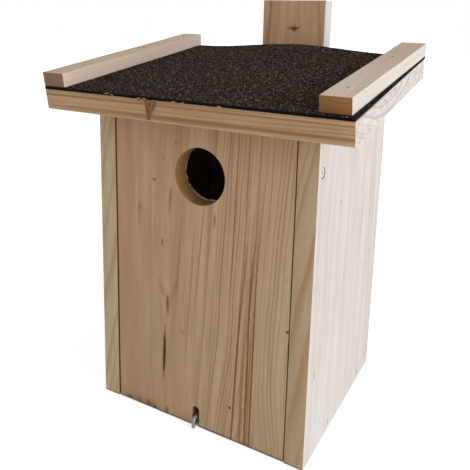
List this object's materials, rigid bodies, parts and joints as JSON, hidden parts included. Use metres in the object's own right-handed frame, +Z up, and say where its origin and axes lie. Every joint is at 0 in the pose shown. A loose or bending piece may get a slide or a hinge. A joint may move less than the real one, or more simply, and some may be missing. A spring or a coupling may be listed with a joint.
{
  "type": "bird nest box",
  "caption": "Wooden bird nest box with a round entrance, a front that swings up on side screws, a turn hook, a felted lean-to roof and a hanging batten at the back.",
  "frame": {"origin": "centre of the base, on the underside of the floor board", "axes": "+Z up, -Y out of the front with the entrance hole, +Y out of the back of the hanging batten, +X to the right as seen from the front"},
  "size_m": [0.275, 0.2277, 0.38],
  "materials": {
    "wall_pine": "bare planed pine",
    "front_pine": "bare planed pine with knots",
    "roof_pine": "bare planed pine",
    "batten_pine": "bare sawn pine",
    "hanger_pine": "bare planed pine",
    "roofing_felt": "bitumen felt with mineral granules",
    "zinc_steel": "dulled zinc plating"
  },
  "bodies": {
    "box": {"left_wall": "wall_pine", "right_wall": "wall_pine", "back_wall": "wall_pine", "floor_board": "wall_pine", "roof_board": "roof_pine", "roofing_felt": "roofing_felt", "left_roof_batten": "batten_pine", "right_roof_batten": "batten_pine", "hanging_batten": "hanger_pine"},
    "front": {"front_panel": "front_pine", "left_pivot_screw": "zinc_steel", "right_pivot_screw": "zinc_steel"},
    "hook": {"turn_hook": "zinc_steel"}
  },
  "joints": [
    {"name": "front_swing", "type": "hinge", "parent": "box", "child": "front", "pos_m": [0, -0.0805, 0.2475], "axis": [-1, 0, 0], "range_deg": [0, 110]},
    {"name": "hook_turn", "type": "hinge", "parent": "box", "child": "hook", "pos_m": [0.0006, -0.089, 0.0102], "axis": [0, -1, 0], "range_deg": [0, 90]}
  ]
}
